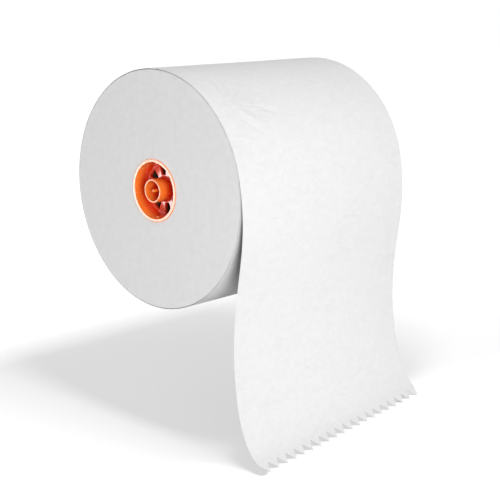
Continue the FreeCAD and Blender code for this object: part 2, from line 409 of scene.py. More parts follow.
@dataclass(frozen=True)
class TowelPaper:
    """Soft matt towel paper: a cloudy formation, short fibres, fine crinkles and a few dark specks, with
    painted shade in narrow gaps.
    """

    name: str = "towel_paper"
    tone: float = 0.93
    cloudiness: float = 0.027
    noise_span: Pair = (0.3, 0.7)
    clouds: Texture = Texture(190.0, detail=5.0, relief=0.39 * MM, strength=0.5)
    cloud_share: float = 0.5
    grain: Texture = Texture(720.0, detail=3.0, relief=0.13 * MM, strength=0.9)
    crinkles: Texture = Texture(80.0, relief=0.3 * MM, strength=0.7, stretch=(0.4, 1.0, 1.0))
    crinkle_width: float = 0.045
    crinkle_patches: Texture = Texture(80.0 / 3.0, detail=1.0)
    crinkled_span: Pair = (0.5, 0.62)
    crumples: Texture = Texture(272.0, relief=0.2 * MM, strength=0.8, stretch=(0.4, 1.0, 1.0))
    handled_place: Triple = (36.0 * MM, -66.0 * MM, 74.0 * MM)
    handled_reach: Pair = (8.0 * MM, 34.0 * MM)
    specks_per_metre: float = 55.0
    speck_radius: float = 0.35 * MM
    speck_core: float = 0.6
    speck_share: float = 0.045
    speck_colour: Triple = (0.42, 0.4, 0.38)
    # Painted shade: greys the paper in narrow gaps, such as between the hanging sheet and the roll.
    painted_gap_shade: PaintedGapShade = PaintedGapShade(50.0 * MM, 0.68, (0.3, 0.3, 0.3))
    roughness: Pair = (0.86, 0.98)
    sheen_weight: float = 0.04
    sheen_roughness: float = 0.6
    specular: float = 0.25

    def speckled(self, board: NodeBoard, shade: Socket) -> Socket:
        """The paper's own colour, from a shade, with the few specks on it.

        Args:
            board: The material's nodes.
            shade: How light the paper is.

        Returns:
            The colour's socket.
        """
        dark, light = ((self.tone + side * self.cloudiness,) * 3 for side in (-1, 1))
        paper = board.blend(board.ramp(shade, self.noise_span), dark, light)
        inputs = {"Vector": board.place, "Scale": self.specks_per_metre}
        cells = board.add("ShaderNodeTexVoronoi", inputs).outputs
        radius = self.speck_radius * self.specks_per_metre
        dot = board.ramp(cells["Distance"], (radius * self.speck_core, radius), 1.0, 0.0)
        chosen = board.add("ShaderNodeSeparateColor", {"Color": cells["Color"]}).outputs["Red"]
        specks = board.maths("MULTIPLY", dot, board.maths("LESS_THAN", chosen, self.speck_share))
        return board.blend(specks, paper, self.speck_colour)

    def folded(self, board: NodeBoard, folds: Texture, where: Socket, below: Socket | None = None) -> Socket:
        """The normal of paper with thin wandering fold lines, drawn out across the towel.

        Args:
            board: The material's nodes.
            folds: The lines' spread and relief.
            where: A mask of the places that have them.
            below: The normal that they go on top of, where there is one.

        Returns:
            The normal's socket.
        """
        aside = board.maths("ABSOLUTE", board.maths("SUBTRACT", board.noise(folds), 0.5))
        lines = board.ramp(aside, (0.0, self.crinkle_width), 1.0, 0.0)
        return board.bump(folds, board.maths("MULTIPLY", lines, where), below)

    def crinkled(self, board: NodeBoard) -> Socket:
        """The normal of paper with crinkles that come and go in patches, and a place crumpled by handling.

        Args:
            board: The material's nodes.

        Returns:
            The normal's socket.
        """
        patches = board.ramp(board.noise(self.crinkle_patches), self.crinkled_span)
        away = board.vector("DISTANCE", board.place, self.handled_place)["Value"]
        handled = board.ramp(away, self.handled_reach, 1.0, 0.0)
        return self.folded(board, self.crumples, handled, self.folded(board, self.crinkles, patches))

    def material(self) -> Material:
        """Lays out the finish.

        Returns:
            The material.
        """
        board = NodeBoard(self.name)
        clouds, grain = board.noise(self.clouds), board.noise(self.grain)
        paper = self.speckled(board, board.mixed(self.cloud_share, clouds, grain))
        cockled = board.bump(self.clouds, clouds, self.crinkled(board))
        return board.finish({
            # Painted shade in narrow gaps darkens the base colour.
            "Base Color": self.painted_gap_shade.shaded(board, paper),
            "Normal": board.bump(self.grain, grain, cockled),
            "Roughness": board.ramp(grain, self.noise_span, *self.roughness),
            "Specular IOR Level": self.specular,
            "Sheen Weight": self.sheen_weight,
            "Sheen Roughness": self.sheen_roughness,
        })


@dataclass(frozen=True)
class WoundEdges(TowelPaper):
    """The same paper seen edge on: tight turns that show as fine rings about the axis."""

    name: str = "wound_edges"
    cloudiness: float = 0.022
    clouds: Texture = Texture(170.0, detail=6.0)
    cloud_share: float = 0.7
    grain: Texture = Texture(720.0, detail=3.0, relief=0.13 * MM, strength=0.8)
    rings: Texture = Texture(1250.0, detail=3.0, relief=0.05 * MM, strength=0.5)
    wander: Texture = Texture(9.0)
    ring_wander: float = 2.2
    edge_roughness: float = 0.95
    specular: float = 0.2

    def material(self) -> Material:
        """Lays out the finish.

        Returns:
            The material.
        """
        board = NodeBoard(self.name)
        radius = board.vector("LENGTH", board.stretched((0.0, 1.0, 1.0)))["Value"]
        wander = board.maths("MULTIPLY", board.noise(self.wander), self.ring_wander)
        turns = board.maths("ADD", board.maths("MULTIPLY", radius, self.rings.per_metre), wander)
        inputs = {"W": turns, "Scale": 1.0, "Detail": self.rings.detail}
        rings = board.add("ShaderNodeTexNoise", inputs, noise_dimensions="1D").outputs["Fac"]
        shade = board.mixed(self.cloud_share, board.noise(self.clouds), rings)
        return board.finish({
            "Base Color": self.speckled(board, shade),
            "Normal": board.bump(self.grain, board.noise(self.grain), board.bump(self.rings, rings)),
            "Roughness": self.edge_roughness,
            "Specular IOR Level": self.specular,
        })


@dataclass(frozen=True)
class CoreBoard:
    """Plain brown tube board with short fibres along the winding, with painted shade that turns it nearly
    black deep inside the core.
    """

    name: str = "core_board"
    pale: Triple = (0.62, 0.49, 0.35)
    dark: Triple = (0.45, 0.34, 0.23)
    shade_span: Pair = (0.35, 0.65)
    # Painted shade: nearly black deep inside the core, so the plugs' windows show dark.
    painted_gap_shade: PaintedGapShade = PaintedGapShade(40.0 * MM, 0.97, (0.02, 0.015, 0.011))
    fibres: Texture = Texture(380.0, detail=5.0, relief=0.06 * MM, strength=0.6, stretch=(1.0, 0.35, 0.35))
    fibre_share: float = 0.65
    patches: Texture = Texture(47.5, detail=3.0)
    roughness: float = 0.9
    specular: float = 0.2

    def material(self) -> Material:
        """Lays out the finish.

        Returns:
            The material.
        """
        board = NodeBoard(self.name)
        fibres, patches = board.noise(self.fibres), board.noise(self.patches)
        shade = board.ramp(board.mixed(self.fibre_share, fibres, patches), self.shade_span)
        brown = board.blend(shade, self.dark, self.pale)
        return board.finish({
            # Painted shade deep inside the core darkens the brown.
            "Base Color": self.painted_gap_shade.shaded(board, brown),
            "Normal": board.bump(self.fibres, fibres),
            "Roughness": self.roughness,
            "Specular IOR Level": self.specular,
        })


@dataclass(frozen=True)
class GlossyPlastic:
    """Glossy orange moulded plastic with faint flow streaks and a soft orange peel, and painted shade that
    turns it redder deep inside.
    """

    width: float
    name: str = "plug_plastic"
    colour: Triple = (1.0, 0.26, 0.036)
    streak_colour: Triple = (0.98, 0.235, 0.03)
    streaks: Texture = Texture(140.0, detail=4.0, stretch=(0.3, 1.0, 1.0))
    streak_span: Pair = (0.35, 0.65)
    # Painted shade: darker and redder with depth into the cup, where shade falls.
    painted_shade_colour: Triple = (0.82, 0.05, 0.004)
    painted_shade_span: Pair = (1.0 * MM, 9.0 * MM)
    peel: Texture = Texture(900.0, relief=0.012 * MM, strength=0.4)
    peel_span: Pair = (0.2, 0.8)
    roughness: Pair = (0.21, 0.29)
    refraction: float = 1.58
    coat_weight: float = 1.0
    coat_roughness: float = 0.12

    def material(self) -> Material:
        """Lays out the finish, whose painted shade deepens with depth counted from the nearer end of the
        roll.

        Returns:
            The material.
        """
        board = NodeBoard(self.name)
        streaked = board.ramp(board.noise(self.streaks), self.streak_span)
        plain = board.blend(streaked, self.streak_colour, self.colour)
        along = board.add("ShaderNodeSeparateXYZ", {"Vector": board.place}).outputs["X"]
        inside = board.maths("MINIMUM", along, board.maths("SUBTRACT", self.width, along))
        peel = board.noise(self.peel)
        return board.finish({
            # Painted shade: the colour turns darker and redder with depth from the roll's end.
            "Base Color": board.blend(board.ramp(inside, self.painted_shade_span), plain, self.painted_shade_colour),
            "Normal": board.bump(self.peel, peel),
            "Roughness": board.ramp(peel, self.peel_span, *self.roughness),
            "IOR": self.refraction,
            "Coat Weight": self.coat_weight,
            "Coat Roughness": self.coat_roughness,
        })


# ---- Wound paper ----

@dataclass(frozen=True)
class WoundPaper:
    """The wound turns below the outer one, with two end faces of tight turns and the spiral's rim."""

    size: RollFrame
    rim_rounding: float = 0.15 * MM
    rounding_steps: int = 4
    face_steps: int = 108
    barrel_steps: int = 12
    angle_steps: int = 300
    ring_height: float = 0.035 * MM
    ring_spacing: float = 2.4 * MM
    ring_drift: float = 0.02
    swell_height: float = 0.035 * MM
    swells_per_metre: float = 32.0
    settled_reach: float = 4.0 * MM
    face_seeds: Pair = (3.0, 17.0)
    swell_seed: float = 5.0
    sharp_angle: float = 60.0

    def outer_radius(self, angles: np.ndarray) -> np.ndarray:
        """Radius of the turn below the outer one, at angles from the leave angle once round."""
        turns_down = (angles - TOP + FULL_TURN) / FULL_TURN
        return self.size.roll_radius - self.size.turn_pitch * turns_down

    def relief(self, face: np.ndarray, seed: float) -> np.ndarray:
        """How far the turns' edges stand in from the plane of an end face.

        Args:
            face: The y and z of points on the face.
            seed: Tells the two faces apart.

        Returns:
            The depth at each point, never below 0.
        """
        radius = np.linalg.norm(face, axis=-1)
        along_rings = np.stack([radius, face[..., 0] * self.ring_drift], axis=-1)
        rings = value_noise(along_rings, 1.0 / self.ring_spacing, seed)
        swell = value_noise(face, self.swells_per_metre, seed + self.swell_seed)
        depth = self.ring_height * (1.0 + rings) + self.swell_height * (1.0 + swell)
        bore = self.size.paper_bore
        return np.maximum(depth, 0.0) * smooth_step(radius, bore, bore + self.settled_reach)

    def points(self) -> np.ndarray:
        """All points of the body, one row for each angle.

        Returns:
            An array of rows, points in a row, and x, y and z.
        """
        angles = self.size.leave_angle + round_angles(self.angle_steps)
        rim, bore = self.outer_radius(angles), self.size.paper_bore
        face_radius = bore + (rim - self.rim_rounding - bore) * np.linspace(0.0, 1.0, self.face_steps)
        turns = np.radians(np.linspace(0.0, QUARTER_TURN, self.rounding_steps + 1))[1:]
        round_radius = rim - self.rim_rounding * (1.0 - np.sin(turns))
        round_depth = np.broadcast_to(self.rim_rounding * (1.0 - np.cos(turns)), round_radius.shape)
        face = around(face_radius, angles)
        insets = [np.concatenate([self.relief(face, seed), round_depth], axis=1) for seed in self.face_seeds]
        near, far = insets[0], self.size.width - insets[1]
        barrel = np.linspace(near[:, -1], far[:, -1], self.barrel_steps + 2, axis=1)[:, 1:-1]
        x = np.concatenate([near, barrel, far[:, ::-1]], axis=1)
        half = np.concatenate([face_radius, round_radius], axis=1)
        radius = np.concatenate([half, np.broadcast_to(rim, barrel.shape), half[:, ::-1]], axis=1)
        return np.concatenate([x[..., None], around(radius, angles)], axis=-1)

    def build(self, material: Material) -> Object:
        """Makes the wound body.

        Args:
            material: The finish of the turns' edges.

        Returns:
            The object.
        """
        wound = ring_body("wound_turns", self.points())
        return dress(wound, material, self.sharp_angle, "paper", "paper_roll")


# ---- Outer turn and hanging end ----

@dataclass(frozen=True)
class SheetCourse:
    """The course of one edge of the free end: a waist so far behind the roll's front and below its bottom,
    and an end so far before and below them, which slopes down towards the front by an angle.
    """

    waist_back: float
    waist_below: float
    end_forward: float
    end_below: float
    end_slope: float


@dataclass(frozen=True)
class Crease:
    """A soft fold line in the paper, so far across from the near edge and down from the leave line."""

    across: float
    down: float
    length: float
    width: float
    height: float
    turn: float

    def height_at(self, across: np.ndarray, down: np.ndarray) -> np.ndarray:
        """The crease's share of the surface's height.

        Args:
            across: Distance of each point from the near edge.
            down: Distance of each point below the leave line.

        Returns:
            The height at each point.
        """
        turn = math.radians(self.turn)
        right, below = across - self.across, down - self.down
        along = right * math.cos(turn) + below * math.sin(turn)
        aside = below * math.cos(turn) - right * math.sin(turn)
        return self.height * np.exp(-((along / self.length) ** 4)) * np.exp(-((aside / self.width) ** 2))


# Across, down, length, width and height in millimetres, and the turn in degrees.
HANDLING_CREASES = tuple(Crease(*(value * MM for value in sizes), turn) for *sizes, turn in (
    (108.0, -15.5, 28.0, 2.0, 0.38, 10.0),
    (177.0, -22.8, 20.0, 1.9, -0.45, 6.5),
    (16.0, -22.5, 9.0, 1.8, 0.35, -6.0),
    (62.0, -27.5, 10.0, 5.0, -0.4, 0.0),
    (90.0, -32.0, 12.0, 4.0, 0.24, 8.0),
    (66.0, 70.5, 17.0, 2.1, 0.32, 12.0),
    (60.0, 65.5, 10.0, 1.8, -0.24, 8.0),
    (25.0, -86.0, 14.0, 1.8, 0.64, 112.0),
    (21.5, -81.0, 10.0, 1.8, -0.56, 100.0),
    (31.0, -43.0, 11.0, 1.8, 0.48, 40.0),
    (36.0, -48.5, 9.0, 1.8, -0.45, 35.0),
    (41.0, -53.5, 8.0, 1.8, 0.35, 32.0),
    (57.0, -56.0, 10.0, 1.8, 0.4, 23.0),
    (27.0, -60.0, 8.0, 1.8, -0.35, 60.0),
    (50.0, -66.0, 7.0, 1.8, 0.32, 130.0),
    (5.0, 103.0, 5.0, 1.6, 0.56, 60.0),
    (10.0, 118.0, 7.0, 1.8, 0.29, 15.0),
    (109.0, 138.0, 4.0, 1.8, -0.4, 45.0),
    (163.0, 15.5, 8.0, 2.6, 0.48, -51.0),
    (88.0, 2.5, 12.0, 1.9, 0.21, 10.0),
    (30.0, 69.0, 14.0, 2.0, 0.22, 14.0),
))


@dataclass
class HangingTowel:
    """The outer turn of the towel and its free end, which hangs in front of the roll and ends in teeth."""

    size: RollFrame
    thickness: float = 0.34 * MM
    leave_gap: float = 0.3 * MM
    near: SheetCourse = SheetCourse(8.1 * MM, 18.0 * MM, 18.4 * MM, 107.2 * MM, 28.0)
    far: SheetCourse = SheetCourse(5.9 * MM, 4.3 * MM, 20.7 * MM, 92.4 * MM, 36.0)
    upper_ease: float = 0.41
    lower_ease: float = 0.27
    tooth_count: int = 20
    tooth_depth: float = 9.2 * MM
    tooth_band: float = 1.0 * MM
    last_stretch: float = 5.0 * MM
    hidden_turn_from: float = 130.0
    hidden_step: float = 6.0 * MM
    visible_step: float = 1.5 * MM
    columns_per_tooth: int = 6
    edge_dip: float = 0.12 * MM
    edge_dip_reach: float = 1.0 * MM
    edge_dip_columns: Pair = (0.25, 0.7)
    edge_dip_end: Pair = (-2.0 * MM, 10.0 * MM)
    cockle_height: float = 0.2 * MM
    cockles_per_metre: float = 28.0
    cockle_stretch: Pair = (0.7, 1.3)
    cockle_seed: float = 2.0
    crinkle_height: float = 0.03 * MM
    crinkles_per_metre: float = 170.0
    crinkle_seed: float = 9.0
    flat_margin: float = 6.0 * MM
    flat_start: float = 10.0 * MM
    creases: tuple[Crease, ...] = HANDLING_CREASES
    sharp_angle: float = 55.0
    flat_length: float = field(default=0.0, init=False)

    def columns(self) -> np.ndarray:
        """Where the points lie across the width, closer together by the two edges.

        Returns:
            The distances from the near edge.
        """
        even = np.linspace(0.0, self.size.width, self.tooth_count * self.columns_per_tooth + 1)
        close = np.array(self.edge_dip_columns) * self.edge_dip_reach
        return np.sort(np.concatenate([even, close, self.size.width - close]))

    def turn_radius(self, angles: np.ndarray) -> np.ndarray:
        """Radius of the outer face of the outer turn, which stands off a little before it leaves.

        Args:
            angles: Angles round the turn.

        Returns:
            The radius at each angle.
        """
        wound = self.size.roll_radius - self.size.turn_pitch * np.maximum(angles - TOP, 0.0) / FULL_TURN
        return wound + self.leave_gap * np.clip((TOP - angles) / (TOP - self.size.leave_angle), 0.0, 1.0)

    def turn_angles(self) -> np.ndarray:
        """Angles round the outer turn, from its start under itself to where it leaves, closer where it shows.

        Returns:
            The angles, falling.
        """
        ends = (self.size.leave_angle + FULL_TURN, self.hidden_turn_from, self.size.leave_angle)
        degrees_per_metre = np.degrees(1.0 / self.size.roll_radius)
        stretches = []
        for start, end, step in zip(ends, ends[1:], (self.hidden_step, self.visible_step)):
            count = int((start - end) / (step * degrees_per_metre))
            stretches.append(np.linspace(start, end, count, endpoint=False))
        return np.concatenate(stretches)

    def free_course(self, course: SheetCourse) -> np.ndarray:
        """The section of the free end along one edge, from the leave line to the roots of the teeth.

        Args:
            course: The edge's course.

        Returns:
            The y and z of the points down the edge.
        """
        radius = self.size.roll_radius
        slope = math.radians(course.end_slope)
        knots = [
            around(radius + self.leave_gap, self.size.leave_angle),
            np.array([-(radius - course.waist_back), -(radius + course.waist_below)]),
            np.array([-(radius + course.end_forward), -(radius + course.end_below)]),
        ]
        ways = [
            around(1.0, self.size.leave_angle - QUARTER_TURN),
            np.array([0.0, -1.0]),
            np.array([-math.cos(slope), -math.sin(slope)]),
        ]
        spans = []
        eases = (self.upper_ease, self.lower_ease)
        for start, end, leaving, coming, ease in zip(knots, knots[1:], ways, ways[1:], eases):
            chord = float(np.linalg.norm(end - start))
            reach = ease * chord
            poles = (start, start + leaving * reach, end - coming * reach, end)
            share = np.linspace(0.0, 1.0, round(chord / self.visible_step), endpoint=False)[:, None]
            weights = [math.comb(3, k) * share ** k * (1.0 - share) ** (3 - k) for k in range(len(poles))]
            spans.append(sum(weight * pole for weight, pole in zip(weights, poles)))
        root = knots[-1] + ways[-1] * self.tooth_band
        return np.concatenate(spans + [root[None]])

    def matched_courses(self) -> tuple[np.ndarray, np.ndarray]:
        """Both edges' courses with the same number of points, at the same shares of the way.

        Returns:
            The near edge's points and the far edge's.
        """
        courses = [self.free_course(self.near), self.free_course(self.far)]
        wanted = np.linspace(0.0, 1.0, max(map(len, courses)))
        evened = []
        for course in courses:
            at = np.linspace(0.0, 1.0, len(course))
            evened.append(np.stack([np.interp(wanted, at, values) for values in course.T], axis=-1))
        return evened[0], evened[1]

    def tooth_reach(self, across: np.ndarray) -> np.ndarray:
        """How far the toothed edge reaches past the roots of the teeth at each place across the width."""
        pitch = self.size.width / self.tooth_count
        return self.tooth_depth * (1.0 - np.abs(2.0 * np.mod(across / pitch, 1.0) - 1.0))

    def hanging_face(self, across: np.ndarray) -> np.ndarray:
        """The free end's outer face, blended from edge to edge and drawn out into the teeth.

        Args:
            across: Position of each column.

        Returns:
            The y and z of the points, rows down the sheet by columns.
        """
        share = (across / self.size.width)[None, :, None]
        near, far = self.matched_courses()
        hanging = near[:, None, :] * (1.0 - share) + far[:, None, :] * share
        way = hanging[-1] - hanging[-2]
        way /= np.linalg.norm(way, axis=-1, keepdims=True)
        tips = hanging[-1] + way * self.tooth_reach(across)[:, None]
        rows = int(self.last_stretch / self.visible_step)
        root = hanging[-1 - rows]
        shares = np.linspace(0.0, 1.0, 2 * rows)[1:, None, None]
        return np.concatenate([hanging[:-rows], root + (tips - root) * shares])

    def smooth_face(self) -> tuple[np.ndarray, np.ndarray, np.ndarray]:
        """The outer face of the turn and the free end before any creases.

        Returns:
            The points as rows down the sheet, the position of each column, and each row's distance below the
            leave line.
        """
        across = self.columns()
        angles = self.turn_angles()
        turned = around(self.turn_radius(angles), angles)[:, None, :]
        turned = np.broadcast_to(turned, (len(angles), len(across), 2))
        section = np.concatenate([turned, self.hanging_face(across)])
        lengths = np.linalg.norm(np.diff(section[:, len(across) // 2], axis=0), axis=-1)
        down = np.concatenate([[0.0], np.cumsum(lengths)])
        x = np.broadcast_to(across[None, :, None], (*section.shape[:2], 1))
        return np.concatenate([x, section], axis=-1), across, down - down[len(angles)]

    def relief(self, across: np.ndarray, down: np.ndarray) -> np.ndarray:
        """Height of cockles, crinkles and creases over the whole sheet.

        Args:
            across: Position of each column.
            down: Position of each row.

        Returns:
            The height of each point, rows by columns.
        """
        rows, columns = np.meshgrid(down, across, indexing="ij")
        place = np.stack([columns, rows], axis=-1)
        cockles = value_noise(place * self.cockle_stretch, self.cockles_per_metre, self.cockle_seed)
        crinkles = value_noise(place, self.crinkles_per_metre, self.crinkle_seed)
        folds = sum(crease.height_at(columns, rows) for crease in self.creases)
        height = cockles * self.cockle_height + crinkles * self.crinkle_height + folds
        edges = smooth_step(np.minimum(across, self.size.width - across), 0.0, self.flat_margin)
        return height * edges * smooth_step(down, down[0], down[0] + self.flat_start)[:, None]

    def edge_dips(self, across: np.ndarray, down: np.ndarray) -> np.ndarray:
        """How far the outer face of the wound stretch dips towards the side edges.

        Args:
            across: Position of each column.
            down: Position of each row.

        Returns:
            The dip at each point, rows by columns.
        """
        from_edge = np.minimum(across, self.size.width - across)[None, :]
        wound = 1.0 - smooth_step(down, *self.edge_dip_end)[:, None]
        return self.edge_dip * np.clip(1.0 - from_edge / self.edge_dip_reach, 0.0, 1.0) ** 2 * wound

    def build(self, material: Material) -> Object:
        """Makes the outer turn and the free end as one closed thin sheet, and notes its length.

        Args:
            material: The finish of the paper.

        Returns:
            The object.
        """
        smooth, across, down = self.smooth_face()
        self.flat_length = float(down[-1] - down[0])
        outward = grid_normals(smooth)
        creased = smooth + outward * self.relief(across, down)[..., None]
        inner = creased - grid_normals(creased) * self.thickness
        outer = creased - outward * self.edge_dips(across, down)[..., None]
        rows, columns = outer.shape[:2]
        faces = grid_faces(rows, columns)
        border = np.concatenate([
            np.arange(columns),
            np.arange(1, rows) * columns + columns - 1,
            (rows - 1) * columns + np.arange(columns - 2, -1, -1),
            np.arange(rows - 2, 0, -1) * columns,
        ])
        ahead, count = np.roll(border, -1), rows * columns
        rim = np.stack([border, ahead, ahead + count, border + count], axis=1)
        sheet = new_object(
            "outer_turn_and_free_end",
            np.concatenate([outer, inner]).reshape(-1, 3),
            np.concatenate([faces[:, ::-1], faces + count, rim]),
        )
        return dress(sheet, material, self.sharp_angle, "paper", "paper_roll")


# ---- Core ----

@dataclass(frozen=True)
class CoreTube:
    """The cardboard tube, wound from a strip of board whose seam shows as a shallow helical step."""

    size: RollFrame
    seam_pitch: float = 62.0 * MM
    seam_width: float = 0.8 * MM
    seam_depth: float = 0.12 * MM
    end_rounding: float = 0.25 * MM
    angle_steps: int = 144
    length_steps: int = 150
    sharp_angle: float = 50.0

    def seam(self, x: np.ndarray, angle: np.ndarray) -> np.ndarray:
        """Depth of the groove where the strip's edges meet."""
        phase = np.mod(x / self.seam_pitch - angle / FULL_TURN + 0.5, 1.0) - 0.5
        return self.seam_depth * np.exp(-((phase * self.seam_pitch / self.seam_width) ** 2))

    def build(self, material: Material) -> Object:
        """Makes the tube.

        Args:
            material: The finish of the board.

        Returns:
            The object.
        """
        angles = round_angles(self.angle_steps)
        x = np.linspace(self.end_rounding, self.size.width - self.end_rounding, self.length_steps)[None, :]
        outer = self.size.core_radius - self.seam(x, angles)
        inner = self.size.core_bore + self.seam(x, angles + FULL_TURN / 2.0)
        low = np.full((self.angle_steps, 1), self.size.core_bore + self.end_rounding)
        high = np.full((self.angle_steps, 1), self.size.core_radius - self.end_rounding)
        near, far = np.zeros_like(low), np.full_like(low, self.size.width)
        along = np.broadcast_to(x, outer.shape)
        radius = np.concatenate([low, high, outer, high, low, inner[:, ::-1]], axis=1)
        station = np.concatenate([near, near, along, far, far, along[:, ::-1]], axis=1)
        points = np.concatenate([station[..., None], around(radius, angles)], axis=-1)
        tube = ring_body("core_tube_board", points)
        return dress(tube, material, self.sharp_angle, "core_board", "core_tube")


# ---- Plugs ----

class RollEnd(Enum):
    """The end of the roll that a plug closes."""

    NEAR = "near"
    FAR = "far"


class ToolUse(Enum):
    """What a tool does to the body that it meets."""

    JOIN = "UNION"
    CUT = "DIFFERENCE"


@dataclass(frozen=True)
class CorePlug:
    """The moulded plug: a flanged cup with a spigot, a centre pin and windows in its floor."""

    size: RollFrame
    end: RollEnd
    flange_thickness: float = 0.8 * MM
    flange_back_round: float = 0.1 * MM
    pilot_length: float = 3.0 * MM
    pilot_wall: float = 0.85 * MM
    cup_taper: float = 2.3 * MM
    cup_depth: float = 12.0 * MM
    cup_wall: float = 1.3 * MM
    cup_floor_fillet: float = 1.1 * MM
    edge_round: float = 0.4 * MM
    spigot_radius: float = 9.9 * MM
    spigot_wall: float = 1.7 * MM
    spigot_fillet: float = 1.3 * MM
    socket_fillet: float = 0.7 * MM
    spigot_round: float = 0.6 * MM
    pin_radius: float = 1.3 * MM
    pin_setback: float = 0.6 * MM
    pin_fillet: float = 0.5 * MM
    pin_tip_share: float = 0.75
    window_count: int = 8
    window_arc: float = 22.5
    window_turn: float = 9.0
    window_inner_margin: float = 1.9 * MM
    window_outer_margin: float = 0.5 * MM
    window_corner: float = 0.8 * MM
    window_round: float = 0.4 * MM
    rib_count: int = 8
    rib_width: float = 1.2 * MM
    angle_steps: int = 240
    round_steps: int = 5
    cut_margin: float = 1.0 * MM
    sharp_angle: float = 40.0

    @property
    def pilot_radius(self) -> float:
        """Radius of the pilot, which fits the core's bore."""
        return self.size.core_bore - self.size.fit_clearance

    @property
    def mouth_radius(self) -> float:
        """Radius of the cup inside its mouth."""
        return self.pilot_radius - self.pilot_wall

    @property
    def floor_radius(self) -> float:
        """Radius of the cup inside at its floor."""
        return self.mouth_radius - self.cup_taper

    def rounded(self, corners: Sequence[Triple]) -> list[Pair]:
        """An outline with rounded corners.

        Args:
            corners: The x and radius of each corner, and how much it is rounded.

        Returns:
            The outline's points, with an arc in place of each rounded corner.
        """
        outline: list[Pair] = []
        for k, (x, radius, rounding) in enumerate(corners):
            here = np.array([x, radius])
            if rounding <= 0.0:
                outline.append((x, radius))
                continue
            back = np.array(corners[k - 1][:2]) - here
            ahead = np.array(corners[(k + 1) % len(corners)][:2]) - here
            back, ahead = back / np.linalg.norm(back), ahead / np.linalg.norm(ahead)
            half = math.acos(float(np.clip(back @ ahead, -1.0, 1.0))) / 2.0
            sweep = math.pi - 2.0 * half
            arc_radius = rounding * math.tan(half)
            centre = here + (back + ahead) / np.linalg.norm(back + ahead) * math.hypot(rounding, arc_radius)
            start, end = here + back * rounding - centre, here + ahead * rounding - centre
            for share in np.linspace(0.0, 1.0, self.round_steps + 1):
                spoke = start * math.sin((1.0 - share) * sweep) + end * math.sin(share * sweep)
                outline.append(tuple(centre + spoke / math.sin(sweep)))
        return outline

    def outline(self) -> np.ndarray:
        """Half of the plug's section, from the pin's tip along the inside and back outside.

        Returns:
            The x and radius of each point.
        """
        front, floor, back = -self.size.proud, self.cup_depth, self.size.plug_depth
        flange, tip = -self.flange_thickness, self.pin_setback - self.size.proud
        bore = self.spigot_radius - self.spigot_wall
        return np.array(self.rounded([
            (tip, 0.0, 0.0),
            (tip, self.pin_radius, self.pin_radius * self.pin_tip_share),
            (floor, self.pin_radius, self.pin_fillet),
            (floor, bore, self.socket_fillet),
            (front, bore, self.spigot_round),
            (front, self.spigot_radius, self.spigot_round),
            (floor, self.spigot_radius, self.spigot_fillet),
            (floor, self.floor_radius, self.cup_floor_fillet),
            (flange, self.mouth_radius, self.edge_round),
            (flange, self.size.flange_radius, self.edge_round),
            (0.0, self.size.flange_radius, self.flange_back_round),
            (0.0, self.pilot_radius, 0.0),
            (self.pilot_length, self.pilot_radius, self.edge_round),
            (back, self.floor_radius + self.cup_wall, self.edge_round),
            (back, 0.0, 0.0),
        ]))

    def turned_body(self) -> Object:
        """Turns the section about the axis.

        Returns:
            The plug's body of revolution.
        """
        outline = self.outline()
        angles = round_angles(self.angle_steps)
        x, radius = np.broadcast_to(outline[1:-1].T[:, None], (2, len(angles), len(outline) - 2))
        points = np.concatenate([x[..., None], around(radius, angles)], axis=-1)
        rows, columns = points.shape[:2]
        faces = grid_faces(rows, columns, join_rows=True)[:, ::-1].tolist()
        tip, back = rows * columns, rows * columns + 1
        for start in range(0, rows * columns, columns):
            ahead = (start + columns) % (rows * columns)
            faces.append([tip, start, ahead])
            faces.append([back, ahead + columns - 1, start + columns - 1])
        ends = np.array([(x, 0.0, 0.0) for x in outline[[0, -1], 0]])
        return new_object("plug_body", np.concatenate([points.reshape(-1, 3), ends]), faces)

    def window_ring(self, x: float, growth: float) -> np.ndarray:
        """A window's outline, a stretch of a ring with rounded corners about the angle 0.

        Args:
            x: Where it lies along the axis.
            growth: How far the outline is grown on all sides.

        Returns:
            The outline's points.
        """
        inner = self.spigot_radius + self.window_inner_margin - growth
        outer = self.floor_radius - self.window_outer_margin + growth
        corner = self.window_corner + growth
        turns = np.linspace(0.0, math.pi / 2.0, self.round_steps + 1)
        ring = []
        for radius, inward in ((inner, 1.0), (outer, -1.0)):
            corner_angle = corner / radius
            straight = math.radians(self.window_arc / 2.0) + growth / radius - corner_angle
            for side in (-inward, inward):
                for turn in (turns if side == inward else turns[::-1]):
                    angle = side * (straight + corner_angle * math.sin(turn))
                    ring.append((radius + inward * corner * (1.0 - math.cos(turn)), angle))
        radii, angles = np.array(ring).T
        return np.insert(around(radii, np.degrees(angles)), 0, x, axis=1)

    def window_cutter(self) -> Object:
        """Makes the cutter for one window, which widens towards the front in a rounded lip.

        Returns:
            The cutter.
        """
        lip, bottom = self.window_round, self.cup_depth + self.window_round
        stations = [(self.cup_depth - self.cut_margin, lip)]
        for turn in np.linspace(0.0, math.pi / 2.0, self.round_steps + 1):
            stations.append((bottom - lip * (1 - math.sin(turn)), lip - lip * (1 - math.cos(turn))))
        stations.append((self.size.plug_depth + self.cut_margin, 0.0))
        rings = np.stack([self.window_ring(x, growth) for x, growth in stations])
        return lofted_body("window_cutter", rings)

    def grip_rib(self) -> Object:
        """Makes a rib outside the cup's tapered wall that reaches out to the core's bore.

        Returns:
            The rib.
        """
        wall = self.floor_radius + self.cup_wall / 2.0
        half, lead = self.rib_width / 2.0, self.edge_round
        reach = math.sqrt(self.pilot_radius ** 2 - half ** 2)
        front, back = self.pilot_length - lead, self.size.plug_depth
        outline = [
            (front, wall),
            (front, reach - lead),
            (back - 2.0 * lead, reach),
            (back, reach - 2.0 * lead),
            (back, wall),
        ]
        rings = np.array([[(x, y, z) for x, z in outline] for y in (-half, half)])
        return lofted_body("grip_rib", rings)

